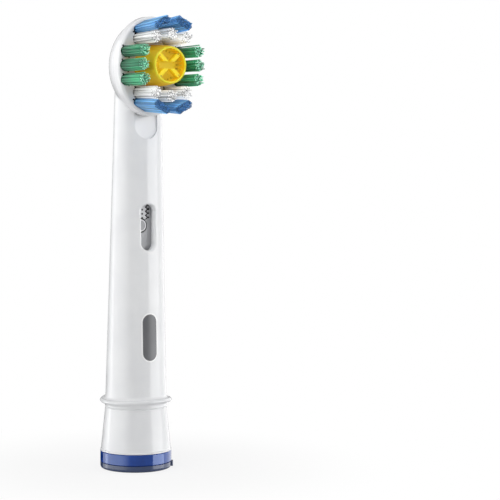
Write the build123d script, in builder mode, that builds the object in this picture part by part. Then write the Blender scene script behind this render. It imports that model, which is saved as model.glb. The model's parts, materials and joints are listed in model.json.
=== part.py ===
"""Electric toothbrush head: a hollow neck, a swinging carrier full of tufts, and the drive inside.

Millimetres. +Z runs up the neck from the underside of the foot, and the tufts face -Y.
"""
import os
from math import atan, cos, radians, sin

from build123d import *

# Foot and colour ring at the base
foot_radius = 6.1
foot_height = 1.1
foot_edge = 0.5
ring_height = 2.0
ring_edge = 0.15
handle_bore_radius = 4.2
sleeve_wall = 0.6
sleeve_clearance = 0.05
sleeve_setback = 0.6
foot_web = 0.7
spindle_opening = 2.6
tab_angle = -30.0
tab_width = 1.3
tab_depth = 0.9
tab_reach = 0.3

# Skirt, waist and bowed collar
skirt_height = 7.4
skirt_top_radius = 5.28
skirt_lip_height = 0.2
skirt_lip_reach = 0.12
crease_depth = 0.14
waist_radius = 5.32
collar_radius = 6.17
collar_rise = 1.2
collar_bow = 0.3
collar_thickness = 0.65
collar_edge = 0.22
collar_flare = 0.55
collar_under_flare = 0.4

# Neck: round at the collar, and at its top an oval that leans forward into the head
neck_foot_radius = 5.2
neck_top_drop = 1.0
neck_top_half_width = 4.16
neck_top_half_depth = 2.91
neck_top_lean = 0.73
dome_blend = 0.8

# Window in the neck
window_width = 2.35
window_height = 7.75
window_centre = 41.5
window_edge = 0.4

# Scoop in the front of the neck, under the carrier
scoop_width = 4.35
scoop_drop = 8.0
scoop_length = 4.2
scoop_lip = 0.45
scoop_depth = 0.9

# Head dome behind the carrier
head_height = 68.6
dome_side_inset = 0.15
dome_end_inset = 0.5
dome_wall = 1.1
dome_front = 3.48

# Bores inside the neck
coupling_clearance = 0.25
rod_clearance = 0.35

# Carrier plate
plate_half_width = 6.45
plate_half_height = 8.3
plate_thickness = 2.0
plate_gap = 0.12
plate_edge = 0.55
plate_back_edge = 0.2
plate_sweep_clearance = 0.35
hub_radius = 1.8

# Axle pin
axle_radius = 0.75
axle_clearance = 0.08
axle_seat = 2.2
axle_boss_radius = 1.6
axle_boss_front = 0.0
axle_head_radius = 1.25
axle_head_thickness = 0.6
axle_head_clearance = 0.25
axle_end_play = 0.1

# Drive rod with its ball, and the fork that the ball moves
rod_radius = 0.75
rod_bend = 1.4
rod_hold = 7.8
ball_radius = 0.85
ball_reach = 2.75
ball_drop = 3.2
ball_clearance = 0.1
fork_prong = 0.95
fork_depth = 1.2
fork_length = 2.4
fork_pocket = 0.35

# Drive coupling, its stem seen through the window
coupling_radius = 3.2
coupling_foot_gap = 0.25
coupling_edge = 0.3
stem_radius = 2.45
stem_length = 14.1
stem_above_window = 0.9
stem_front_radius = 3.2
stem_front_width = 4.4
stem_flat = 2.85
stem_flat_length = 9.5
socket_radius = 2.02
socket_length = 11.75
socket_d_radius = 1.7
socket_d_length = 6.0
socket_flat = 1.45
pad_rise = 0.15
pad_lift = 1.3
pad_left = -1.35
pad_right = 0.0
tooth_count = 4
tooth_pitch = 0.7
tooth_depth = 0.42
tooth_gap = 0.4
tooth_gap_depth = 0.8
boss_radius = 1.05
boss_groove = 0.22
boss_groove_depth = 0.45
boss_offset = -0.75
boss_lift = 0.3

# Grip spring in the coupling's socket
spring_thickness = 0.3
spring_width = 1.6
spring_length = 8.0
spring_bump = 0.3
spring_clearance = 0.05

# Polishing cup
cup_radius = 3.05
cup_flare = 0.35
cup_height = 6.1
cup_wall = 0.32
cup_depth = 2.3
cup_lip = 0.14
rib_width = 0.62
rib_drop = 0.35
rib_angle = 45.0
cup_block_width = 3.0
cup_block_height = 1.2
cup_block_drop = 1.3
serration_count = 24
serration_radius = 0.12

# Tufts
tuft_radius = 0.84
tuft_tip_radius = 0.97
tuft_length = 6.9
tuft_seat = 1.4
tuft_clearance = 0.13
bar_length = 3.0
bar_thickness = 1.2
bar_tip_length = 3.6
bar_tip_thickness = 1.42
bar_tuft_length = 7.2
bar_angle = 28.0
flute_depth = 0.09
end_flutes = 12
side_flutes = 10

# Anchors: strips that pin each tuft's fold in its pocket, a little below the carrier's face
anchor_thickness = 0.28
anchor_setback = 0.05
anchor_bite = 0.4
anchor_angle = -60.0

# Tuft places on the carrier and how far their tips lean out
green_inset = 1.3
green_pitch = 2.35
green_set_in = 0.15
white_inset = 3.35
white_pitch = 2.75
white_set_in = 0.5
blue_across = 2.05
blue_inset = 1.85
side_lean = 0.12
row_lean = 0.15
blue_lean = 0.45

# Heights and depths that follow from the sizes above
ring_bottom = foot_height
ring_top = ring_bottom + ring_height
skirt_top = ring_top + skirt_height
sleeve_radius = handle_bore_radius + sleeve_wall
sleeve_top = skirt_top - sleeve_setback
collar_side_height = skirt_top + collar_rise
neck_bottom = collar_side_height + collar_bow + collar_thickness / 2 + 2 * collar_flare
neck_top = head_height - neck_top_drop
dome_radius = plate_half_width - dome_side_inset
dome_half_height = plate_half_height - dome_end_inset
neck_height = neck_top - neck_bottom
plate_back = dome_front + plate_gap
plate_face = plate_back + plate_thickness
pocket_floor = plate_face - tuft_seat
anchor_height = tuft_seat - anchor_setback
axle_head_floor = plate_face - axle_head_clearance - axle_head_thickness - axle_end_play
coupling_bottom = sleeve_top + coupling_foot_gap
coupling_top = window_centre + window_height / 2 + stem_above_window
coupling_shoulder = coupling_top - stem_length
stem_flat_bottom = coupling_top - stem_flat_length
coupling_bore = coupling_radius + coupling_clearance
stem_bore = stem_radius + coupling_clearance
stem_room = stem_front_radius + coupling_clearance
socket_top = coupling_bottom + socket_length
pad_bottom = window_centre + pad_lift
pad_top = pad_bottom + tooth_count * tooth_pitch
rod_bore = rod_radius + rod_clearance
rod_foot = coupling_top - rod_hold
rod_height = head_height - ball_drop

os.makedirs("parts", exist_ok=True)


def front_plane(depth):
    """Plane that faces the front, at this depth ahead of the neck's axis, upright in X and Z."""
    return Plane.XZ.offset(depth)


def save(builder, name):
    """Label a finished piece and write it."""
    builder.part.label = name
    export_step(builder.part, f"parts/{name}.step")


# Collar: a thin disc bowed up at the front and back
with BuildPart() as collar:
    band_reach = collar_radius + 2 * collar_bow
    band_lift = collar_bow * (band_reach / collar_radius) ** 2
    with BuildSketch(Plane.YZ):
        with BuildLine():
            under, over = [
                ThreePointArc(
                    (-band_reach, collar_side_height + band_lift + offset),
                    (0, collar_side_height + offset),
                    (band_reach, collar_side_height + band_lift + offset),
                )
                for offset in (-collar_thickness / 2, collar_thickness / 2)
            ]
            Line(under @ 0, over @ 0)
            Line(under @ 1, over @ 1)
        make_face()
    extrude(amount=band_reach, both=True)
    with BuildSketch(Plane.XY.offset(collar_side_height - collar_thickness)):
        Circle(collar_radius)
    extrude(amount=2 * (band_lift + collar_thickness), mode=Mode.INTERSECT)
    collar_rims = collar.edges().filter_by(GeomType.BSPLINE)
    chamfer(collar_rims, collar_edge)

# Neck tube: skirt, collar, tapering neck and head dome, moulded as one
with BuildPart() as neck_tube:
    with BuildSketch(Plane.XZ):
        with BuildLine():
            Polyline(
                (0, neck_bottom),
                (0, ring_top),
                (foot_radius, ring_top),
                (foot_radius, ring_top + skirt_lip_height),
                (foot_radius - skirt_lip_reach, ring_top + skirt_lip_height + skirt_lip_reach),
                (skirt_top_radius, skirt_top),
                (skirt_top_radius - crease_depth, skirt_top + crease_depth),
                (waist_radius, skirt_top + 2 * crease_depth),
                (neck_foot_radius, neck_bottom),
                (0, neck_bottom),
            )
        make_face()
    revolve(axis=Axis.Z)
    add(collar.part)
    # Flare of the collar into the neck above it and the waist below it
    for rank, flare in ((-1, collar_flare), (0, collar_under_flare)):
        collar_seams = neck_tube.edges().filter_by(GeomType.BSPLINE).filter_by(
            lambda edge: neck_foot_radius < edge.bounding_box().max.X < waist_radius
        )
        fillet(collar_seams.sort_by(Axis.Z)[rank], flare)
    with BuildSketch(Plane.XY.offset(neck_bottom)):
        Circle(neck_foot_radius)
    with BuildSketch(Plane.XY.offset(neck_top)):
        with Locations((0, -neck_top_lean)):
            Ellipse(neck_top_half_width, neck_top_half_depth)
    loft(ruled=True)
    # Half spheroid that stands behind the carrier
    with BuildSketch(front_plane(dome_front)):
        with BuildLine():
            dome_line = EllipticalCenterArc(
                (0, head_height), dome_radius, dome_half_height, start_angle=-90, arc_size=180
            )
            Line(dome_line @ 1, dome_line @ 0)
        make_face()
    revolve(axis=Axis((0, -dome_front, 0), (0, 0, 1)), revolution_arc=180)
    # Room for the swinging carrier in front of the dome
    with BuildSketch(front_plane(dome_front)):
        with Locations((0, head_height)):
            Circle(plate_half_height + plate_sweep_clearance)
    extrude(amount=plate_face, mode=Mode.SUBTRACT)
    # Soft blend where the neck runs into the dome
    seam = neck_tube.edges().filter_by(GeomType.BSPLINE)
    seam = seam.filter_by_position(Axis.Z, head_height - dome_half_height, neck_top)
    fillet(seam.filter_by_position(Axis.Y, dome_wall - dome_front, dome_radius), dome_blend)
    # Hollow of the dome, open to the front
    with BuildSketch(front_plane(dome_front)):
        with BuildLine():
            hollow_line = EllipticalCenterArc(
                (0, head_height),
                dome_radius - dome_wall,
                dome_half_height - dome_wall,
                start_angle=-90,
                arc_size=180,
            )
            Line(hollow_line @ 1, hollow_line @ 0)
        make_face()
    revolve(axis=Axis((0, -dome_front, 0), (0, 0, 1)), revolution_arc=180, mode=Mode.SUBTRACT)
    # Boss that holds the axle pin
    with BuildSketch(front_plane(axle_boss_front)):
        with Locations((0, head_height)):
            Circle(axle_boss_radius)
    extrude(amount=-(dome_radius - dome_front - dome_wall / 2))
    with BuildSketch(front_plane(axle_boss_front)):
        with Locations((0, head_height)):
            Circle(axle_radius)
    extrude(amount=-axle_seat, mode=Mode.SUBTRACT)
    # Scoop under the carrier: a round-ended pocket whose floor runs deeper towards the head
    scoop_bottom = head_height - scoop_drop - scoop_length
    neck_share = (scoop_bottom - neck_bottom) / neck_height
    neck_front = neck_foot_radius + neck_share * (neck_top_half_depth + neck_top_lean - neck_foot_radius)
    scoop_slope = atan((scoop_depth - scoop_lip) / scoop_length)
    scoop_floor = Plane(
        origin=(0, scoop_lip - neck_front, scoop_bottom),
        x_dir=(1, 0, 0),
        z_dir=(0, -cos(scoop_slope), sin(scoop_slope)),
    )
    with BuildSketch(scoop_floor):
        with Locations((0, (scoop_length + scoop_width) / 2)):
            SlotOverall(scoop_length + scoop_width, scoop_width, rotation=90)
    extrude(amount=neck_foot_radius, mode=Mode.SUBTRACT)
    # Stepped bore for the foot's sleeve, the coupling and the rod
    for radius, bottom, top in [
        (sleeve_radius + sleeve_clearance, 0, sleeve_top),
        (coupling_bore, sleeve_top, coupling_shoulder + coupling_clearance),
        (stem_bore, coupling_shoulder, coupling_top + coupling_clearance),
        (rod_bore, coupling_top, rod_height + rod_bore),
    ]:
        with BuildSketch(Plane.XY.offset(bottom)):
            Circle(radius)
        extrude(amount=top - bottom, mode=Mode.SUBTRACT)
    # Room behind the window for the front of the coupling's stem to swing
    with BuildSketch(Plane.XY.offset(coupling_shoulder)):
        Circle(stem_room)
        Rectangle(2 * stem_room, stem_room, align=(Align.CENTER, Align.MAX), mode=Mode.INTERSECT)
    extrude(amount=coupling_top + coupling_clearance - coupling_shoulder, mode=Mode.SUBTRACT)
    # Window through the front wall
    with BuildSketch(front_plane(0)):
        with Locations((0, window_centre)):
            SlotOverall(window_height, window_width, rotation=90)
    extrude(amount=2 * neck_foot_radius, mode=Mode.SUBTRACT)
    window_edges = neck_tube.edges().filter_by_position(
        Axis.Z, window_centre - window_height / 2, window_centre + window_height / 2
    )
    fillet(window_edges.filter_by_position(Axis.Y, -neck_foot_radius, -stem_room - window_edge), window_edge)
save(neck_tube, "neck_tube")

# Foot: band under the colour ring, with the sleeve that plugs into the skirt
with BuildPart() as base_foot:
    with BuildSketch(Plane.XZ):
        with BuildLine():
            Line((handle_bore_radius, 0), (foot_radius - foot_edge, 0))
            RadiusArc((foot_radius - foot_edge, 0), (foot_radius, foot_edge), -foot_edge)
            Polyline(
                (foot_radius, foot_edge),
                (foot_radius, foot_height),
                (sleeve_radius, foot_height),
                (sleeve_radius, sleeve_top),
                (spindle_opening, sleeve_top),
                (spindle_opening, sleeve_top - foot_web),
                (handle_bore_radius, sleeve_top - foot_web),
                (handle_bore_radius, 0),
            )
        make_face()
    revolve(axis=Axis.Z)
    # Index tab at the rim
    with BuildSketch(Plane.XY.offset(foot_edge / 2)):
        with Locations(Location((0, 0), tab_angle)):
            with Locations((foot_radius - tab_reach / 2, 0)):
                RectangleRounded(tab_depth, tab_width, tab_reach / 2)
    extrude(amount=foot_height - foot_edge / 2)
save(base_foot, "base_foot")

# Colour ring between the foot and the skirt
with BuildPart() as colour_ring:
    with BuildSketch(Plane.XY.offset(ring_bottom)):
        Circle(foot_radius)
        Circle(sleeve_radius + sleeve_clearance, mode=Mode.SUBTRACT)
    extrude(amount=ring_height)
    outer_edges = colour_ring.edges().group_by(SortBy.LENGTH)[-1]
    chamfer(outer_edges, ring_edge)
save(colour_ring, "colour_ring")


def bundle_outline(straight, radius):
    """Fluted outline of a bundle of bristles, round or drawn out along X by a straight length."""
    rim = []
    for end in (1, -1):
        for step in range(end_flutes):
            turn = radians(180 * step / end_flutes - 90 * end)
            reach = radius - flute_depth * (step % 2)
            rim.append((end * straight / 2 + reach * cos(turn), reach * sin(turn)))
        if straight:
            for step in range(side_flutes):
                reach = radius - flute_depth * (step % 2)
                rim.append((end * straight * (1 / 2 - step / side_flutes), end * reach))
    Polygon(*rim)


def face_place(depth, place):
    """Plane in front of the axis, centred on a place on the carrier."""
    return Plane(origin=(place[0], -depth, head_height + place[1]), x_dir=(1, 0, 0), z_dir=(0, -1, 0))


# Every tuft by name: its foot on the carrier, its lean, its turn and whether it is a bar
tufts = {}
for index, step in enumerate((1, 0, -1), start=1):
    green_across = plate_half_width - green_inset - green_set_in * abs(step)
    white_up = plate_half_height - white_inset - white_set_in * abs(step)
    for side, sign in (("right", 1), ("left", -1)):
        tufts[f"green_tuft_{side}_{index}"] = (
            sign * green_across,
            step * green_pitch,
            sign * side_lean,
            0,
            None,
        )
    for row, sign in (("upper", 1), ("lower", -1)):
        tufts[f"white_tuft_{row}_{index}"] = (
            step * white_pitch,
            sign * white_up,
            step * side_lean,
            sign * row_lean,
            None,
        )
for row, up_sign in (("upper", 1), ("lower", -1)):
    for side, across_sign in (("right", 1), ("left", -1)):
        tufts[f"blue_tuft_{row}_{side}"] = (
            across_sign * blue_across,
            up_sign * (plate_half_height - blue_inset),
            0,
            up_sign * blue_lean,
            -across_sign * up_sign * bar_angle,
        )


def anchor_outline(turn):
    """Outline of a tuft's anchor, a strip a little longer than the tuft is wide."""
    if turn is None:
        Rectangle(2 * (tuft_radius + anchor_bite), anchor_thickness, rotation=anchor_angle)
    else:
        Rectangle(bar_length + 2 * anchor_bite, anchor_thickness, rotation=turn)


# Carrier: oval plate with a pocket for each tuft, a hub and a fork
with BuildPart() as bristle_carrier:
    with BuildSketch(front_plane(plate_back)):
        with Locations((0, head_height)):
            Ellipse(plate_half_width, plate_half_height)
    extrude(amount=plate_thickness)
    fillet(bristle_carrier.edges().group_by(Axis.Y)[0], plate_edge)
    fillet(bristle_carrier.edges().group_by(Axis.Y)[-1], plate_back_edge)
    # Hub behind the plate
    with BuildSketch(front_plane(plate_back)):
        with Locations((0, head_height)):
            Circle(hub_radius)
    extrude(amount=-(plate_back - axle_boss_front - plate_gap))
    # Fork that straddles the rod's ball
    with BuildSketch(front_plane(plate_back)):
        with Locations((0, head_height - ball_drop)):
            with GridLocations(2 * (ball_radius + ball_clearance) + fork_prong, 0, 2, 1):
                RectangleRounded(fork_prong, fork_length, fork_prong / 4)
    extrude(amount=-fork_depth)
    with BuildSketch(front_plane(plate_back)):
        with Locations((0, head_height - ball_drop)):
            SlotOverall(fork_length, 2 * (ball_radius + ball_clearance), rotation=90)
    extrude(amount=fork_pocket, mode=Mode.SUBTRACT)
    # Bore for the axle and seat for its head
    with BuildSketch(front_plane(0)):
        with Locations((0, head_height)):
            Circle(axle_radius + axle_clearance)
    extrude(amount=plate_face, mode=Mode.SUBTRACT)
    with BuildSketch(front_plane(axle_head_floor)):
        with Locations((0, head_height)):
            Circle(axle_head_radius + axle_head_clearance)
    extrude(amount=plate_face, mode=Mode.SUBTRACT)
    # Pockets for the tufts, with the slits of their anchors
    for across, up, lean_across, lean_up, turn in tufts.values():
        with BuildSketch(face_place(pocket_floor, (across, up))):
            if turn is None:
                Circle(tuft_radius + tuft_clearance)
            else:
                SlotOverall(
                    bar_length + 2 * tuft_clearance, bar_thickness + 2 * tuft_clearance, rotation=turn
                )
            anchor_outline(turn)
        extrude(amount=2 * tuft_seat, mode=Mode.SUBTRACT)
save(bristle_carrier, "bristle_carrier")

# Anchors in the pockets
with BuildPart() as tuft_anchors:
    for across, up, lean_across, lean_up, turn in tufts.values():
        with BuildSketch(face_place(pocket_floor, (across, up))):
            anchor_outline(turn)
    extrude(amount=anchor_height)
save(tuft_anchors, "tuft_anchors")

# Tufts: bundles that widen and lean out towards their tips
for name, (across, up, lean_across, lean_up, turn) in tufts.items():
    if turn is None:
        reach = tuft_length
        foot_size = (0, tuft_radius)
        tip_size = (0, tuft_tip_radius)
    else:
        reach = bar_tuft_length
        foot_size = (bar_length - bar_thickness, bar_thickness / 2)
        tip_size = (bar_tip_length - bar_tip_thickness, bar_tip_thickness / 2)
    with BuildPart() as tuft:
        for depth, place, (straight, radius) in (
            (pocket_floor, (across, up), foot_size),
            (plate_face + reach, (across + lean_across, up + lean_up), tip_size),
        ):
            with BuildSketch(face_place(depth, place)):
                with Locations(Location((0, 0), turn or 0)):
                    bundle_outline(straight, radius)
        loft(ruled=True)
        # Fold round the anchor
        with BuildSketch(face_place(pocket_floor, (across, up))):
            anchor_outline(turn)
        extrude(amount=anchor_height, mode=Mode.SUBTRACT)
    save(tuft, name)

# Axle pin: pressed into the dome's boss, its head in the carrier
with BuildPart() as axle_pin:
    with BuildSketch(front_plane(-(axle_seat - axle_boss_front))):
        with Locations((0, head_height)):
            Circle(axle_radius)
    extrude(amount=axle_seat - axle_boss_front + axle_head_floor + axle_end_play)
    with BuildSketch(front_plane(axle_head_floor + axle_end_play)):
        with Locations((0, head_height)):
            Circle(axle_head_radius)
    extrude(amount=axle_head_thickness)
save(axle_pin, "axle_pin")

# Polishing cup: rubber, hollow at the tip, with ribs and a serrated inner wall
cup_floor = plate_face + cup_height - cup_depth
cup_rim = plate_face + cup_height
with BuildPart() as polishing_cup:
    with BuildSketch(Plane.YZ):
        with BuildLine():
            Polyline(
                (-plate_face, head_height),
                (-plate_face, head_height + cup_radius - cup_flare),
                (-cup_rim + cup_lip, head_height + cup_radius),
                (-cup_rim, head_height + cup_radius - cup_lip),
                (-cup_rim, head_height + cup_radius - cup_wall),
                (-cup_floor, head_height + cup_radius - cup_wall - cup_lip),
                (-cup_floor, head_height),
                (-plate_face, head_height),
            )
        make_face()
    revolve(axis=Axis((0, 0, head_height), (0, -1, 0)))
    # Block in the middle, and diagonal ribs from it to the wall
    cup_inner = cup_radius - cup_wall - cup_lip / 2
    with BuildSketch(front_plane(cup_floor)):
        with Locations((0, head_height)):
            for angle in (rib_angle, -rib_angle):
                Rectangle(2 * cup_inner, rib_width, rotation=angle)
            Rectangle(cup_block_width, cup_block_height, mode=Mode.SUBTRACT)
    extrude(amount=cup_depth - rib_drop)
    with BuildSketch(front_plane(cup_floor)):
        with Locations((0, head_height)):
            RectangleRounded(cup_block_width, cup_block_height, cup_block_height / 4)
    extrude(amount=cup_depth - cup_block_drop)
    # Serrated inner wall
    with BuildSketch(front_plane(cup_floor)):
        with Locations((0, head_height)):
            with PolarLocations(cup_inner, serration_count):
                Circle(serration_radius)
    extrude(amount=cup_depth - 2 * rib_drop)
save(polishing_cup, "polishing_cup")

# Teeth along the right of the coupling's pad, from its bottom up
teeth = [(pad_right, pad_bottom)]
for tooth in range(tooth_count):
    teeth.append((pad_right + tooth_depth, pad_bottom + (tooth + 0.5) * tooth_pitch))
    teeth.append((pad_right, pad_bottom + (tooth + 1) * tooth_pitch))

# Drive coupling: takes the handle's spindle and carries the rod
with BuildPart() as drive_coupling:
    with BuildSketch(Plane.XZ):
        with BuildLine():
            Polyline(
                (0, coupling_bottom),
                (coupling_radius - coupling_edge, coupling_bottom),
                (coupling_radius, coupling_bottom + coupling_edge),
                (coupling_radius, coupling_shoulder - coupling_edge),
                (coupling_radius - coupling_edge, coupling_shoulder),
                (stem_radius, coupling_shoulder),
                (stem_radius, coupling_top - coupling_edge),
                (stem_radius - coupling_edge, coupling_top),
                (0, coupling_top),
                (0, coupling_bottom),
            )
        make_face()
    revolve(axis=Axis.Z)
    # Front of the stem, close behind the window
    with BuildSketch(Plane.XY.offset(stem_flat_bottom)):
        Circle(stem_front_radius)
        Rectangle(
            stem_front_width, stem_front_radius, align=(Align.CENTER, Align.MAX), mode=Mode.INTERSECT
        )
    extrude(amount=coupling_top - stem_flat_bottom)
    # Flat on it, with a toothed pad and a round boss raised on it
    with BuildSketch(front_plane(stem_flat)):
        with Locations((0, (stem_flat_bottom + coupling_top) / 2)):
            Rectangle(2 * coupling_radius, coupling_top - stem_flat_bottom)
    extrude(amount=coupling_radius, mode=Mode.SUBTRACT)
    with BuildSketch(front_plane(stem_flat)):
        Polygon((pad_left, pad_top), (pad_left, pad_bottom), *teeth, align=None)
        with Locations((boss_offset, window_centre + boss_lift)):
            Circle(boss_radius)
    extrude(amount=pad_rise)
    # Groove round the boss
    with BuildSketch(front_plane(stem_flat - boss_groove_depth)):
        with Locations((boss_offset, window_centre + boss_lift)):
            Circle(boss_radius + boss_groove)
            Circle(boss_radius, mode=Mode.SUBTRACT)
    extrude(amount=boss_groove_depth + pad_rise, mode=Mode.SUBTRACT)
    # Deep zigzag gap along the pad's teeth
    with BuildSketch(front_plane(stem_flat - tooth_gap_depth)):
        Polygon(*teeth, *[(across + tooth_gap, up) for across, up in reversed(teeth)], align=None)
    extrude(amount=tooth_gap_depth + pad_rise, mode=Mode.SUBTRACT)
    # Socket for the spindle: round, then with a flat
    with BuildSketch(Plane.XY.offset(coupling_bottom)):
        Circle(socket_radius)
    extrude(amount=socket_length, mode=Mode.SUBTRACT)
    with BuildSketch(Plane.XY.offset(socket_top)):
        Circle(socket_d_radius)
        with Locations((0, socket_flat + socket_d_radius)):
            Rectangle(2 * socket_d_radius, 2 * socket_d_radius, mode=Mode.SUBTRACT)
    extrude(amount=socket_d_length, mode=Mode.SUBTRACT)
    # Pocket for the grip spring beside the flat
    with BuildSketch(Plane.YZ.offset(-(spring_width / 2 + spring_clearance))):
        with Locations((socket_flat, socket_top)):
            Rectangle(
                spring_thickness + 2 * spring_clearance,
                spring_length + 2 * spring_clearance,
                align=(Align.MIN, Align.MIN),
            )
    extrude(amount=spring_width + 2 * spring_clearance, mode=Mode.SUBTRACT)
    # Bore that holds the rod's foot
    with BuildSketch(Plane.XY.offset(rod_foot)):
        Circle(rod_radius)
    extrude(amount=coupling_top - rod_foot, mode=Mode.SUBTRACT)
save(drive_coupling, "drive_coupling")

# Grip spring: a strip with a bump that presses on the spindle's flat
spring_bottom = socket_top + spring_clearance
with BuildPart() as grip_spring:
    with BuildSketch(Plane.YZ.offset(-spring_width / 2)):
        with BuildLine():
            inner = socket_flat + spring_clearance
            outer = inner + spring_thickness
            near = socket_d_length / 4
            far = socket_d_length - near
            Polyline(
                (outer, spring_bottom),
                (inner, spring_bottom),
                (inner, spring_bottom + near),
                (inner - spring_bump, spring_bottom + (near + far) / 2),
                (inner, spring_bottom + far),
                (inner, spring_bottom + spring_length),
                (outer, spring_bottom + spring_length),
                (outer, spring_bottom + far),
                (outer - spring_bump, spring_bottom + (near + far) / 2),
                (outer, spring_bottom + near),
                (outer, spring_bottom),
            )
        make_face()
    extrude(amount=spring_width)
save(grip_spring, "grip_spring")

# Drive rod: steel wire, bent forward at the top, with a ball on its end
with BuildPart() as drive_rod:
    with BuildLine(Plane.YZ) as rod_path:
        FilletPolyline(
            (0, rod_foot), (0, rod_height), (-ball_reach, rod_height), radius=rod_bend
        )
    with BuildSketch(Plane.XY.offset(rod_foot)):
        Circle(rod_radius)
    sweep(path=rod_path.line)
    with Locations((0, -ball_reach, rod_height)):
        Sphere(ball_radius)
save(drive_rod, "drive_rod")
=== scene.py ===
"""Looks of an electric toothbrush head: bristles, finishes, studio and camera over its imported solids.

Metres, in the frame of the solids: +Z up the neck, and the tufts face -Y.
"""
import json
from math import ceil, cos, pi, radians, sin, sqrt
from random import Random
from types import SimpleNamespace

import bpy
from mathutils import Matrix, Vector


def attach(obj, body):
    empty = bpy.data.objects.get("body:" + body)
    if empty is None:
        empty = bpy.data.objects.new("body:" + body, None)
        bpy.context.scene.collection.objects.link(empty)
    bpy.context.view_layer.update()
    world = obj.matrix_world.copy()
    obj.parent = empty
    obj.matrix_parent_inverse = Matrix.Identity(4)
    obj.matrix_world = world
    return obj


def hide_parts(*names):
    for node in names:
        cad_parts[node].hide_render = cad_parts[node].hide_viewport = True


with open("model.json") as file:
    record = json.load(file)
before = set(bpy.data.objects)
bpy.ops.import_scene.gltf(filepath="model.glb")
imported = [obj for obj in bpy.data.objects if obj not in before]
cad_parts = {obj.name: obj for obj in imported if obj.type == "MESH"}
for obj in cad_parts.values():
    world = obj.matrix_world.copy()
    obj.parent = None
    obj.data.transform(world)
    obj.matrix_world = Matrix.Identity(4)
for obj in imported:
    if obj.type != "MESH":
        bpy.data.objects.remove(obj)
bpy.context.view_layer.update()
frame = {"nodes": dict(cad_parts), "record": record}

MM = 0.001

# Head and carrier, as in the solids
head_height = 68.6 * MM
plate_half_width = 6.45 * MM
plate_half_height = 8.3 * MM
plate_face = 5.6 * MM

# Round tufts and blue bars, as in the solids
tuft_radius = 0.84 * MM
tuft_tip_radius = 0.97 * MM
tuft_length = 6.9 * MM
bar_length = 3.0 * MM
bar_thickness = 1.2 * MM
bar_tip_length = 3.6 * MM
bar_tip_thickness = 1.42 * MM
bar_tuft_length = 7.2 * MM
bar_angle = 28.0

# Places of the tufts and how far their tips lean out, as in the solids
green_inset = 1.3 * MM
green_pitch = 2.35 * MM
green_set_in = 0.15 * MM
white_inset = 3.35 * MM
white_pitch = 2.75 * MM
white_set_in = 0.5 * MM
blue_across = 2.05 * MM
blue_inset = 1.85 * MM
side_lean = 0.12 * MM
row_lean = 0.15 * MM
blue_lean = 0.45 * MM

# Bundles of single bristles. An outline is its straight length and the radius of its round ends.
# The outermost bristles pass it by the overhang, a share of their radius.
round_bundle = SimpleNamespace(
    length=tuft_length,
    foot_outline=(0, tuft_radius),
    tip_outline=(0, tuft_tip_radius),
    bristle_radius=0.105 * MM,
    spacing=0.27 * MM,
    overhang=0.7,
    trim=0.3 * MM,
    stray=0.05 * MM,
)
bar_bundle = SimpleNamespace(
    length=bar_tuft_length,
    foot_outline=(bar_length - bar_thickness, bar_thickness / 2),
    tip_outline=(bar_tip_length - bar_tip_thickness, bar_tip_thickness / 2),
    bristle_radius=0.092 * MM,
    spacing=0.225 * MM,
    overhang=0.0,
    trim=0.14 * MM,
    stray=0.03 * MM,
)
bristle_root = 0.6 * MM
foot_spread = 0.09 * MM
grid_nudge = 0.2

# One bristle: its sides, the rings along its shaft, and its rounded end in shares of its radius
bristle_sides = 6
shaft_rings = (0.0, 0.35, 0.7)
end_setback = 0.3
end_width = 0.72

# Colour along a bristle, in shares of its length, with painted shade at its root,
# and the painted shade between bristles below their tips
side_band = (0.05, 0.6)
tip_end = 0.99
shade_start = (0.925, 0.955)
shade_end = (0.974, 0.988)

# Roughness of the smoothest bristle, and how much rougher others are
bristle_roughness = 0.28
strand_roughness = 0.1

# Neck, as in the solids: an ellipse at each height, from a circle at its foot
neck_bottom = 13.425 * MM
neck_top = 67.6 * MM
neck_foot_radius = 5.2 * MM
neck_top_half_width = 4.16 * MM
neck_top_half_depth = 2.91 * MM
neck_top_lean = 0.73 * MM

# Bare plate on the front of the neck
badge_bottom = 18.65 * MM
badge_top = 27.05 * MM
badge_width = 3.15 * MM
badge_border = 0.26 * MM
badge_lift = 0.015 * MM
badge_columns = 10
badge_steps = 14

# Polishing cup, as in the solids
cup_height = 6.1 * MM
cup_radius = 3.05 * MM
cup_wall = 0.32 * MM
cup_lip = 0.14 * MM
cup_flutes = 24

# Skirt round the cup, wider than the solid's barrel
skirt_swell = 0.48 * MM
skirt_rings = 14
skirt_sides = 72

# Colour of the cup: bands of radius, of the wave that its flutes make, and of depth below the rim.
# The depths place the rim's painted highlight, the painted glow outside and the painted shade in the
# well.
inside_band = (cup_radius - 1.5 * cup_wall, cup_radius - 1.2 * cup_wall)
wall_band = (cup_radius - 2.6 * cup_wall, cup_radius - 2.2 * cup_wall)
flute_band = (-0.4, 0.6)
rim_band = (0.05 * MM, 0.25 * MM)
glow_band = (0.05 * MM, 0.4 * MM)
well_band = (0.5 * MM, 1.1 * MM)
floor_band = (1.35 * MM, 1.6 * MM)

# Coupling's stem behind the window, as in the solids
stem_flat = 2.85 * MM
pad_rise = 0.15 * MM
boss_radius = 1.05 * MM
boss_offset = -0.75 * MM
boss_height = 41.8 * MM
pad_bottom = 42.8 * MM
tooth_pitch = 0.7 * MM

# Colour of the stem: bands of height off its flat, round the boss, and up the stem.
# They place the boss's painted highlight and the painted shade in the sunk gaps and by the teeth.
raised_band = (stem_flat + 0.5 * pad_rise, stem_flat + 0.9 * pad_rise)
sunk_band = (stem_flat - 0.05 * MM, stem_flat - 0.01 * MM)
boss_highlight_band = (0.72 * boss_radius, 0.86 * boss_radius)
boss_edge_band = (boss_radius, 1.05 * boss_radius)
gap_shade_band = (boss_height - 1.4 * boss_radius, boss_height - 1.3 * boss_radius)
teeth_band = (pad_bottom, pad_bottom + 0.05 * MM)

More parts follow.
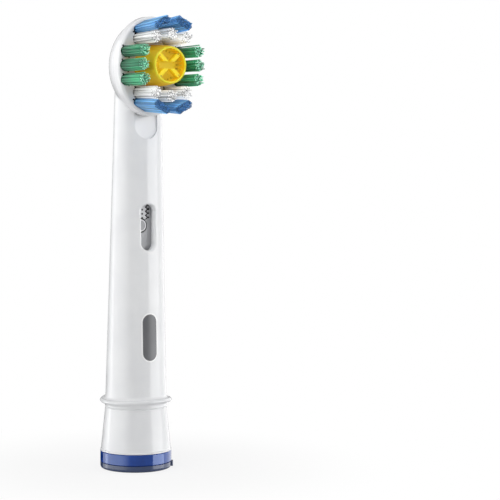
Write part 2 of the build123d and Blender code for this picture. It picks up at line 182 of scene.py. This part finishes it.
# Spots of painted shade beside the pad's teeth: how far across, and how far up each tooth
left_shade_spot = (-0.48 * MM, 0.4)
right_shade_spot = (0.8 * MM, 0.5)
shade_spot_radius = 0.19 * MM
shade_spot_band = (0.7 * shade_spot_radius, shade_spot_radius)

# Skins: size of the grain, drift of the roughness, and depth and strength of the dents
shell_skin = {"size": 0.35 * MM, "drift": 0.05, "depth": 0.004 * MM, "strength": 0.25}
rubber_skin = {"size": 0.3 * MM, "drift": 0.12, "depth": 0.006 * MM, "strength": 0.3}
stem_skin = {"size": 0.25 * MM, "drift": 0.1, "depth": 0.004 * MM, "strength": 0.25}

# Drift of colour over the mouldings and the stem
shell_drift = 6 * MM
shell_drift_band = (0.3, 0.7)
stem_drift = 4 * MM
drift_detail = 2.0

# Lines drawn into the steel, and how much rougher they make it
line_width = 0.06 * MM
line_length = 3 * MM
line_detail = 2.0
steel_roughness = 0.24
line_roughness = 0.16

# Floor, white for the camera beyond the shadow
floor_half = 4.0
floor_grey = 0.86
shadow_start = 0.01
shadow_end = 0.045
shadow_white = 0.84

# Light from all round, and what the gloss shows of it. That has a dark part low down behind the head,
# whose bearing, spread, top and fade are in degrees.
soft_light = 0.19
gloss_light = 0.4
dark_bearing = -152.0
dark_spread = 31.0
dark_top = -6.6
dark_fade = 1.4

# Camera, from the photograph's view
camera_place = Vector((-145.4, -262.4, 55.6)) * MM
camera_lens = 126.1
camera_sensor = 36
camera_near = 0.01
camera_turn = radians(3.73)
camera_tilt = radians(3.45)
camera_roll = radians(0.27)

# Level way from the head to the camera, and the point on the neck that the light panels face
view_level = Vector((camera_place.x, camera_place.y, 0)).normalized()
panel_aim = Vector((0, 0, 45 * MM))

upright = Vector((0, 0, 1))
black = (0, 0, 0, 1)
white = (1, 1, 1, 1)


class Wire:
    """A shader socket. Arithmetic on it adds Math nodes, and node() adds a node of any other kind."""

    def __init__(self, tree, socket=None):
        self.tree = tree
        self.socket = socket

    def node(self, kind, settings=(), inputs=(), output=0):
        """Add a node, set it up, feed its sockets with values or wires, and give one of its outputs."""
        made = self.tree.nodes.new(kind)
        for key, value in dict(settings).items():
            setattr(made, key, value)
        for key, value in dict(inputs).items():
            if isinstance(value, Wire):
                self.tree.links.new(value.socket, made.inputs[key])
            else:
                made.inputs[key].default_value = value
        return Wire(self.tree, made.outputs[output] if made.outputs else None)

    def math(self, operation, *terms):
        """A Math node over these terms."""
        return self.node("ShaderNodeMath", {"operation": operation}, enumerate(terms))

    def __add__(self, other):
        return self.math("ADD", self, other)

    __radd__ = __add__

    def __sub__(self, other):
        return self.math("SUBTRACT", self, other)

    def __rsub__(self, other):
        return self.math("SUBTRACT", other, self)

    def __mul__(self, other):
        return self.math("MULTIPLY", self, other)

    __rmul__ = __mul__

    def __pow__(self, other):
        return self.math("POWER", self, other)

    def step(self, low, high):
        """Smooth step of this value from 0 at low to 1 at high."""
        inputs = {"Value": self, "From Min": low, "From Max": high}
        return self.node("ShaderNodeMapRange", {"interpolation_type": "SMOOTHSTEP"}, inputs)

    def blend(self, kind, factor, first, second):
        """Colour from a Mix node. Its colour sockets go by number, because their names repeat."""
        inputs = {0: factor, 6: first, 7: second}
        return self.node("ShaderNodeMix", {"data_type": "RGBA", "blend_type": kind}, inputs, output=2)

    def mix(self, first, second):
        """Colour between two, by this value."""
        return self.blend("MIX", self, first, second)


def srgb(red, green, blue):
    """Linear colour of a screen colour given in steps of 255."""
    linear = []
    for share in (red / 255, green / 255, blue / 255):
        linear.append(share / 12.92 if share <= 0.04045 else ((share + 0.055) / 1.055) ** 2.4)
    return (*linear, 1)


def fresh_wires(owner):
    """Start of an empty node tree on a material, world or light."""
    owner.use_nodes = True
    owner.node_tree.nodes.clear()
    return Wire(owner.node_tree)


def make_finish(name, paint):
    """New material whose shader sockets paint() gives, by name."""
    material = bpy.data.materials.new(name)
    start = fresh_wires(material)
    shader = start.node("ShaderNodeBsdfPrincipled", inputs=paint(start))
    start.node("ShaderNodeOutputMaterial", inputs={"Surface": shader})
    return material


def place(start):
    """Place on the object, in metres."""
    return start.node("ShaderNodeTexCoord", output="Object")


def axis_of(start, axis):
    """One coordinate of the place on the object."""
    return start.node("ShaderNodeSeparateXYZ", inputs={"Vector": place(start)}, output=axis)


def reach_of(across, up):
    """Distance to a point that is this far across and up."""
    return (across * across + up * up) ** 0.5


def grain(start, size, detail=3.0):
    """Even noise with features of about this size."""
    return start.node(
        "ShaderNodeTexNoise", inputs={"Vector": place(start), "Scale": 1 / size, "Detail": detail}
    )


def moulded_skin(start, roughness, size, drift, depth, strength):
    """Roughness that drifts a little, and a skin that isn't quite flat."""
    skin = grain(start, size)
    dents = {"Height": skin, "Distance": depth, "Strength": strength}
    return {
        "Roughness": roughness + drift * (skin - 0.5),
        "Normal": start.node("ShaderNodeBump", inputs=dents, output="Normal"),
    }


def moulded_plastic(name, low, high, roughness, specular=0.5, tint=white):
    """Moulded plastic: a faint drift of colour and gloss, and a skin that isn't quite flat."""

    def paint(start):
        return {
            "Base Color": grain(start, shell_drift, drift_detail).step(*shell_drift_band).mix(low, high),
            "Specular IOR Level": specular,
            "Specular Tint": tint,
            **moulded_skin(start, roughness, **shell_skin),
        }

    return make_finish(name, paint)


def bristle_finish(name, shaded_root, side, tip, tip_start, spread, glow, painted_gap_shade=0.0):
    """Nylon bristles, each a little lighter or darker, with coloured tips and a painted glow that grows
    towards them.

    Their colour is painted darker towards the root, as shade. The last argument sets how dark the
    painted shade between them gets, just below the tips.
    """

    def paint(start):
        along = start.node("ShaderNodeAttribute", {"attribute_name": "along"}, output="Fac")
        strand = start.node("ShaderNodeAttribute", {"attribute_name": "strand"}, output="Fac")
        # Painted shade: the colour is darker towards the root
        shaft = along.step(*side_band).mix(shaded_root, side)
        coloured = along.step(tip_start, tip_end).mix(shaft, tip)
        # Painted shade between the bristles, just below their tips
        shade_under_tip = along.step(*shade_start) * (1 - along.step(*shade_end))
        unshaded_share = 1 - painted_gap_shade * shade_under_tip
        level = (1 - spread * strand) * unshaded_share
        shade = start.node("ShaderNodeCombineColor", inputs={0: level, 1: level, 2: level})
        painted_glow_share = along.step(0, 1) * (1 - strand) * unshaded_share
        return {
            "Base Color": start.blend("MULTIPLY", 1.0, coloured, shade),
            "Roughness": bristle_roughness + strand_roughness * strand,
            "Subsurface Weight": 0.9,
            "Subsurface Radius": (1.0, 1.0, 1.0),
            "Subsurface Scale": 0.3 * MM,
            # Painted glow: the bristles give off light in their own colour, more towards their tips
            "Emission Color": painted_glow_share.mix(black, coloured),
            "Emission Strength": glow,
        }

    return make_finish(name, paint)


def cup_finish():
    """Rubber: gold outside, with a painted highlight of bright yellow at the rim.

    Painted shade makes it ochre in the well and olive in its flutes, and it has a painted glow, orange
    outside.
    """
    # Painted highlight: the rim's brighter yellow
    rim_highlight_yellow = srgb(255, 242, 60)
    outside_gold = srgb(250, 214, 34)
    # Painted glow, orange, on the outside below the rim
    outside_glow_orange = srgb(186, 60, 0)
    well_yellow = srgb(246, 222, 40)
    # Painted shade: ochre partway down the well
    well_shade_ochre = srgb(222, 198, 30)
    floor_yellow = srgb(240, 222, 84)
    # Painted shade: olive in the flutes
    flute_shade_olive = srgb(196, 182, 48)

    def paint(start):
        across = axis_of(start, "X")
        up = axis_of(start, "Z") - head_height
        radius = reach_of(across, up)
        drop = axis_of(start, "Y") + (plate_face + cup_height)
        inside = 1 - radius.step(*inside_band)
        flute_shade_wave = start.math("SINE", cup_flutes * start.math("ARCTAN2", up, across)).step(*flute_band)
        wall = radius.step(*wall_band) * inside
        floor = drop.step(*floor_band).mix(well_shade_ochre, floor_yellow)
        well = drop.step(*well_band).mix(well_yellow, floor)
        inside_with_flute_shade = (wall * flute_shade_wave).mix(well, flute_shade_olive)
        shell = drop.step(*rim_band).mix(rim_highlight_yellow, outside_gold)
        painted_outside_glow = drop.step(*glow_band).mix(black, outside_glow_orange)
        return {
            "Base Color": inside.mix(shell, inside_with_flute_shade),
            "Specular IOR Level": 0.3,
            "Subsurface Weight": 0.5,
            "Subsurface Radius": (1.0, 0.8, 0.15),
            "Subsurface Scale": 0.8 * MM,
            # Painted glow: orange outside, and the inside's own colours
            "Emission Color": inside.mix(painted_outside_glow, inside_with_flute_shade),
            "Emission Strength": 0.16,
            **moulded_skin(start, roughness=0.5, **rubber_skin),
        }

    return make_finish("cup_rubber", paint)


def stem_finish():
    """Matt grey plastic: a pale pad, and a boss with a painted highlight on its rim.

    Painted shade darkens spots beside the pad's teeth and the sunk gaps.
    """
    flat_low = srgb(188, 189, 192)
    flat_high = srgb(202, 203, 206)
    boss_face = srgb(176, 177, 180)
    # Painted highlight round the boss's rim
    boss_rim_highlight = srgb(240, 240, 242)
    pad_face = srgb(224, 225, 227)
    # Painted shade in spots beside the teeth
    spot_shade_dark = srgb(24, 25, 28)
    # Painted shade in the sunk gaps
    gap_shade_dark = srgb(6, 6, 8)

    def paint(start):
        across = axis_of(start, "X")
        up = axis_of(start, "Z")
        ahead = -1.0 * axis_of(start, "Y")
        raised = ahead.step(*raised_band)
        # Painted shade: near-black where the stem is sunk below its flat
        painted_gap_shade = (1 - ahead.step(*sunk_band)) * up.step(*gap_shade_band)
        from_boss = reach_of(across - boss_offset, up - boss_height)
        boss = from_boss.step(*boss_highlight_band).mix(boss_face, boss_rim_highlight)
        pad = from_boss.step(*boss_edge_band).mix(boss, pad_face)
        tooth = start.math("FRACT", (up - pad_bottom) * (1 / tooth_pitch))

        def shade_spots(shade_across, shade_rise):
            """One spot of painted shade on each tooth."""
            from_shade_spot = reach_of(across - shade_across, (tooth - shade_rise) * tooth_pitch)
            return 1 - from_shade_spot.step(*shade_spot_band)

        spotted_shade = up.step(*teeth_band) * (shade_spots(*left_shade_spot) + shade_spots(*right_shade_spot))
        flat = grain(start, stem_drift, drift_detail).mix(flat_low, flat_high)
        face = spotted_shade.mix(raised.mix(flat, pad), spot_shade_dark)
        return {
            "Base Color": painted_gap_shade.mix(face, gap_shade_dark),
            **moulded_skin(start, roughness=0.4, **stem_skin),
        }

    return make_finish("grey_plastic", paint)


def steel_finish(name, low, high):
    """Drawn steel: fine upright lines."""

    def paint(start):
        line_scale = (1 / line_width, 1 / line_width, 1 / line_length)
        lines = start.node("ShaderNodeMapping", inputs={"Vector": place(start), "Scale": line_scale})
        drawn = start.node(
            "ShaderNodeTexNoise", inputs={"Vector": lines, "Scale": 1.0, "Detail": line_detail}
        )
        return {
            "Base Color": drawn.mix(low, high),
            "Metallic": 1.0,
            "Roughness": steel_roughness + line_roughness * drawn,
        }

    return make_finish(name, paint)


finishes = {
    "white_shell": moulded_plastic(
        "white_shell", srgb(236, 237, 239), srgb(242, 243, 244), roughness=0.13
    ),
    "foot_plastic": moulded_plastic(
        "foot_plastic", srgb(64, 77, 108), srgb(72, 85, 118), roughness=0.14
    ),
    "ring_plastic": moulded_plastic(
        "ring_plastic",
        srgb(24, 60, 138),
        srgb(32, 70, 154),
        roughness=0.09,
        specular=0.95,
        tint=(0.6, 0.73, 1.0, 1),
    ),
    "grey_plastic": stem_finish(),
    "badge_plate": moulded_plastic(
        "badge_plate", srgb(100, 101, 104), srgb(110, 111, 114), roughness=0.3
    ),
    "badge_rim": moulded_plastic(
        "badge_rim", srgb(252, 252, 252), srgb(255, 255, 255), roughness=0.3
    ),
    "cup_rubber": cup_finish(),
    "steel": steel_finish("steel", srgb(150, 152, 156), srgb(198, 200, 204)),
    # Painted shade: the anchors are near-black, for the slits they sit in
    "anchor_shade_steel": steel_finish("anchor_shade_steel", srgb(22, 24, 26), srgb(40, 42, 46)),
    # Bristles: painted shade at the root and just below the tips, and a painted glow
    "green_bristle": bristle_finish(
        "green_bristle",
        shaded_root=srgb(54, 134, 98),
        side=srgb(78, 184, 136),
        tip=srgb(170, 246, 210),
        tip_start=0.965,
        spread=0.6,
        glow=0.34,
        painted_gap_shade=0.4,
    ),
    "white_bristle": bristle_finish(
        "white_bristle",
        shaded_root=srgb(236, 236, 232),
        side=srgb(241, 242, 242),
        tip=srgb(255, 255, 255),
        tip_start=0.96,
        spread=0.38,
        glow=0.5,
        painted_gap_shade=0.44,
    ),
    "blue_bristle": bristle_finish(
        "blue_bristle",
        shaded_root=srgb(104, 170, 232),
        side=srgb(124, 192, 250),
        tip=srgb(82, 132, 180),
        tip_start=0.955,
        spread=0.5,
        glow=0.2,
    ),
}


def add_piece(name, vertices, faces, body, finish):
    """New smooth mesh that rides on a body."""
    mesh = bpy.data.meshes.new(name)
    mesh.from_pydata(vertices, [], faces)
    mesh.polygons.foreach_set("use_smooth", [True] * len(faces))
    mesh.materials.append(finishes[finish])
    piece = bpy.data.objects.new(name, mesh)
    bpy.context.scene.collection.objects.link(piece)
    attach(piece, body)
    return piece


def tube_faces(first, rings, sides):
    """Faces between rings of points, which are numbered on from the first."""
    faces = []
    for ring in range(rings - 1):
        for side in range(sides):
            corner = first + ring * sides + side
            beside = first + ring * sides + (side + 1) % sides
            faces.append((corner, beside, beside + sides, corner + sides))
    return faces


def bundle_spots(straight, room, spacing, rng):
    """Hexagonal grid of bristles inside a round-ended outline, each a little off its place."""
    row_spacing = spacing * sqrt(3) / 2
    rows = ceil(room / row_spacing)
    columns = ceil((straight / 2 + room) / spacing) + 1
    nudge = grid_nudge * spacing
    spots = []
    for row in range(-rows, rows + 1):
        up = row * row_spacing
        for column in range(-columns, columns + 1):
            across = (column + row % 2 / 2) * spacing
            over = max(abs(across) - straight / 2, 0)
            if over * over + up * up <= room * room:
                spots.append((across + rng.uniform(-nudge, nudge), up + rng.uniform(-nudge, nudge)))
    return spots


def add_bristle(vertices, faces, along, foot, tip, bow, radius):
    """One bristle from foot to tip: a thin tube, bowed a little, with a round end."""
    length = (tip - foot).length
    rings = [(share, 1.0) for share in shaft_rings]
    rings.append((1 - radius / length, 1.0))
    rings.append((1 - end_setback * radius / length, end_width))
    first = len(vertices)
    for share, width in rings:
        centre = foot.lerp(tip, share) + bow * sin(pi * share)
        for side in range(bristle_sides):
            turn = 2 * pi * side / bristle_sides
            vertices.append(centre + Vector((cos(turn), 0, sin(turn))) * radius * width)
            along.append(share)
    end = len(vertices)
    vertices.append(tip.copy())
    along.append(1.0)
    faces.extend(tube_faces(first, len(rings), bristle_sides))
    last = end - bristle_sides
    for side in range(bristle_sides):
        faces.append((last + side, last + (side + 1) % bristle_sides, end))


def add_bundle(node, bundle, finish, seed, across, up, lean, turn=0):
    """Bundle of single bristles that takes a tuft's place."""
    rng = Random(seed)
    swing = Matrix.Rotation(radians(turn), 2)
    foot_straight, foot_radius = bundle.foot_outline
    tip_straight, tip_radius = bundle.tip_outline
    foot_share_across = (foot_straight / 2 + foot_radius + foot_spread) / (tip_straight / 2 + tip_radius)
    foot_share_up = (foot_radius + foot_spread) / tip_radius
    room = tip_radius - (1 - bundle.overhang) * bundle.bristle_radius
    lean_across, lean_up = lean
    vertices = []
    faces = []
    along = []
    strand = []
    for spot_across, spot_up in bundle_spots(tip_straight, room, bundle.spacing, rng):
        tip_across, tip_up = swing @ Vector((spot_across, spot_up))
        foot_across, foot_up = swing @ Vector((spot_across * foot_share_across, spot_up * foot_share_up))
        strays = [rng.uniform(-bundle.stray, bundle.stray) for _ in range(4)]
        stray_across, stray_up, bow_across, bow_up = strays
        foot = Vector((across + foot_across, -(plate_face - bristle_root), head_height + up + foot_up))
        tip = Vector((
            across + lean_across + tip_across + stray_across,
            -(plate_face + bundle.length - rng.uniform(0, bundle.trim)),
            head_height + up + lean_up + tip_up + stray_up,
        ))
        bow = Vector((bow_across, 0, bow_up))
        add_bristle(vertices, faces, along, foot, tip, bow, bundle.bristle_radius)
        strand.extend([rng.random()] * (len(along) - len(strand)))
    piece = add_piece(node.replace("tuft", "bristles"), vertices, faces, "carrier", finish)
    for name, values in (("along", along), ("strand", strand)):
        piece.data.attributes.new(name, "FLOAT", "POINT").data.foreach_set("value", values)
    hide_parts(node)


def add_bristles():
    """Every tuft on the carrier, each with a seed of its own."""
    seed = 1
    for index, step in enumerate((1, 0, -1), start=1):
        green_across = plate_half_width - green_inset - green_set_in * abs(step)
        white_up = plate_half_height - white_inset - white_set_in * abs(step)
        for side, sign in (("right", 1), ("left", -1)):
            add_bundle(
                f"green_tuft_{side}_{index}",
                round_bundle,
                "green_bristle",
                seed,
                across=sign * green_across,
                up=step * green_pitch,
                lean=(sign * side_lean, 0),
            )
            seed += 1
        for row, sign in (("upper", 1), ("lower", -1)):
            add_bundle(
                f"white_tuft_{row}_{index}",
                round_bundle,
                "white_bristle",
                seed,
                across=step * white_pitch,
                up=sign * white_up,
                lean=(step * side_lean, sign * row_lean),
            )
            seed += 1
    blue_up = plate_half_height - blue_inset
    for row, up_sign in (("upper", 1), ("lower", -1)):
        for side, across_sign in (("right", 1), ("left", -1)):
            add_bundle(
                f"blue_tuft_{row}_{side}",
                bar_bundle,
                "blue_bristle",
                seed,
                across=across_sign * blue_across,
                up=up_sign * blue_up,
                lean=(0, up_sign * blue_lean),
                turn=-across_sign * up_sign * bar_angle,
            )
            seed += 1


def add_cup_skirt():
    """Rubber that swells from the cup's rim to its foot."""
    vertices = []
    for ring in range(skirt_rings + 1):
        share = (ring / skirt_rings) ** 2
        radius = cup_radius + skirt_swell * sqrt(share)
        ahead = plate_face + (cup_height - cup_lip) * (1 - share)
        for side in range(skirt_sides):
            turn = 2 * pi * side / skirt_sides
            vertices.append((radius * cos(turn), -ahead, head_height + radius * sin(turn)))
    faces = tube_faces(0, skirt_rings + 1, skirt_sides)
    add_piece("cup_skirt", vertices, faces, "carrier", "cup_rubber")


def neck_front(across, height, lift):
    """Point on the front of the neck, lifted off it."""
    share = (height - neck_bottom) / (neck_top - neck_bottom)
    half_width = neck_foot_radius + share * (neck_top_half_width - neck_foot_radius)
    half_depth = neck_foot_radius + share * (neck_top_half_depth - neck_foot_radius)
    ahead = half_depth * sqrt(1 - (across / half_width) ** 2) + share * neck_top_lean
    return Vector((across, -ahead - lift, height))


def add_badge(name, inset, lift, finish):
    """Thin round-ended plate that follows the front of the neck."""
    radius = badge_width / 2 - inset
    low = badge_bottom + badge_width / 2
    high = badge_top - badge_width / 2
    heights = [low - radius * cos(pi / 2 * step / badge_steps) for step in range(badge_steps)]
    heights += [low + (high - low) * step / badge_steps for step in range(badge_steps + 1)]
    heights += [high + radius * sin(pi / 2 * step / badge_steps) for step in range(1, badge_steps + 1)]
    vertices = []
    for height in heights:
        over = max(low - height, height - high, 0)
        half = sqrt(max(radius * radius - over * over, 0))
        for column in range(badge_columns + 1):
            across = half * (2 * column / badge_columns - 1)
            vertices.append(neck_front(across, height, lift))
    row_points = badge_columns + 1
    faces = []
    for row in range(len(heights) - 1):
        for column in range(badge_columns):
            corner = row * row_points + column
            above = corner + row_points
            faces.append((corner, corner + 1, above + 1, above))
    add_piece(name, vertices, faces, "housing", finish)


def dress_nodes():
    """Finish of every solid, by its slot. The anchors are darker than the other steel, as painted shade
    in the slits they sit in.
    """
    slots = {part["node"]: part["material_slot"] for part in frame["record"]["subparts"]}
    for name, node in frame["nodes"].items():
        for slot in node.material_slots:
            slot.material = finishes["anchor_shade_steel" if name == "tuft_anchors" else slots[name]]


def add_floor():
    """Pale floor that turns white a little way out, and keeps the shadow near the foot."""
    mesh = bpy.data.meshes.new("floor")
    corners = ((-1, -1), (1, -1), (1, 1), (-1, 1))
    mesh.from_pydata([(x * floor_half, y * floor_half, 0) for x, y in corners], [], [(0, 1, 2, 3)])
    material = bpy.data.materials.new("floor")
    start = fresh_wires(material)
    seen = start.node("ShaderNodeLightPath", output="Is Camera Ray")
    away = start.node("ShaderNodeVectorMath", {"operation": "LENGTH"}, {0: place(start)}, output="Value")
    share = seen * (shadow_white + (1 - shadow_white) * away.step(shadow_start, shadow_end))
    matt = start.node("ShaderNodeBsdfDiffuse", inputs={"Color": (floor_grey, floor_grey, floor_grey, 1)})
    glow = start.node("ShaderNodeEmission", inputs={"Color": white, "Strength": 1.0})
    surface = start.node("ShaderNodeMixShader", inputs={0: share, 1: matt, 2: glow})
    start.node("ShaderNodeOutputMaterial", inputs={"Surface": surface})
    mesh.materials.append(material)
    floor = bpy.data.objects.new("floor", mesh)
    floor.visible_glossy = False
    bpy.context.scene.collection.objects.link(floor)


def set_world():
    """White behind the head, an even soft light from all round, and a pale grey in the gloss.

    That grey is dark low down, behind the head on the left.
    """
    world = bpy.data.worlds.new("studio")
    start = fresh_wires(world)
    ray = start.node("ShaderNodeTexCoord", output="Generated")
    seen = start.node("ShaderNodeLightPath", output="Is Camera Ray")
    through = start.node("ShaderNodeLightPath", output="Is Transmission Ray")
    mirrored = start.node("ShaderNodeLightPath", output="Is Glossy Ray")
    dark_way = Matrix.Rotation(radians(dark_bearing), 3, "Z") @ view_level
    turned = start.node(
        "ShaderNodeVectorMath", {"operation": "DOT_PRODUCT"}, {0: ray, 1: dark_way}, output="Value"
    )
    behind = turned.step(cos(radians(dark_spread)), cos(radians(dark_spread / 2)))
    rise = start.node("ShaderNodeSeparateXYZ", inputs={"Vector": ray}, output="Z")
    low = 1 - rise.step(sin(radians(dark_top - dark_fade)), sin(radians(dark_top)))
    gloss = gloss_light * (1 - low * behind)
    level = soft_light + (gloss - soft_light) * mirrored
    strength = start.math("MAXIMUM", level, start.math("MAXIMUM", seen, through))
    surface = start.node("ShaderNodeBackground", inputs={"Color": white, "Strength": strength})
    start.node("ShaderNodeOutputWorld", inputs={"Surface": surface})
    bpy.context.scene.world = world


def add_panel(name, bearing, elevation, distance, size, radiance, fade=0):
    """Soft light panel. Its bearing is in degrees from the camera, positive to the picture's right.

    It can fade out towards the camera over a share of its width.
    """
    width, height = size
    level = Matrix.Rotation(radians(bearing), 3, "Z") @ view_level
    out = level * cos(radians(elevation)) + upright * sin(radians(elevation))
    light = bpy.data.lights.new(name, "AREA")
    light.shape = "RECTANGLE"
    light.size = width
    light.size_y = height
    light.energy = radiance * pi * width * height
    if fade:
        start = fresh_wires(light)
        across = start.node("ShaderNodeNewGeometry", output="Parametric")
        share = start.node("ShaderNodeSeparateXYZ", inputs={"Vector": across}, output="X")
        glow = start.node("ShaderNodeEmission", inputs={"Strength": (1 - share).step(0, fade)})
        start.node("ShaderNodeOutputLight", inputs={"Surface": glow})
    panel = bpy.data.objects.new(name, light)
    panel.location = panel_aim + out * distance
    panel.rotation_euler = out.to_track_quat("Z", "Y").to_euler()
    panel.visible_camera = False
    bpy.context.scene.collection.objects.link(panel)


def add_lights():
    """A wide tent on the left, panels on the right and behind, and smaller ones above."""
    add_panel(
        "left_tent",
        bearing=-66, elevation=-1, distance=0.6, size=(1.45, 0.48), radiance=2.25, fade=0.45,
    )
    add_panel(
        "right_panel",
        bearing=80, elevation=2, distance=0.45, size=(0.39, 0.36), radiance=3.5,
    )
    add_panel(
        "back_left_panel",
        bearing=-118, elevation=2, distance=0.45, size=(0.24, 0.42), radiance=1.2,
    )
    add_panel(
        "back_right_panel",
        bearing=132, elevation=2, distance=0.45, size=(0.5, 0.42), radiance=1.2,
    )
    add_panel(
        "top_panel",
        bearing=-20, elevation=48, distance=0.16, size=(0.12, 0.12), radiance=1.65,
    )
    add_panel(
        "overhead_panel",
        bearing=0, elevation=86, distance=0.3, size=(0.24, 0.24), radiance=0.7,
    )
    add_panel(
        "head_panel",
        bearing=-40, elevation=45, distance=0.065, size=(0.045, 0.045), radiance=0.45,
    )


def add_camera():
    """Camera at the photograph's place, turned so that the head stands left of the middle."""
    level = -view_level
    aside = level.cross(upright)
    turned = level * cos(camera_turn) + aside * sin(camera_turn)
    forward = turned * cos(camera_tilt) - upright * sin(camera_tilt)
    right = forward.cross(upright).normalized()
    up = right.cross(forward)
    rolled_right = right * cos(camera_roll) + up * sin(camera_roll)
    rolled_up = up * cos(camera_roll) - right * sin(camera_roll)
    data = bpy.data.cameras.new("camera")
    data.lens = camera_lens
    data.sensor_width = camera_sensor
    data.clip_start = camera_near
    camera = bpy.data.objects.new("camera", data)
    stance = Matrix((rolled_right, rolled_up, -forward)).transposed().to_4x4()
    camera.matrix_world = Matrix.Translation(camera_place) @ stance
    bpy.context.scene.collection.objects.link(camera)
    bpy.context.scene.camera = camera


dress_nodes()
add_bristles()
add_cup_skirt()
add_badge("badge_rim", 0, badge_lift, "badge_rim")
add_badge("badge_plate", badge_border, 2 * badge_lift, "badge_plate")
add_floor()
set_world()
add_lights()
add_camera()
bpy.context.scene.view_settings.view_transform = "Standard"
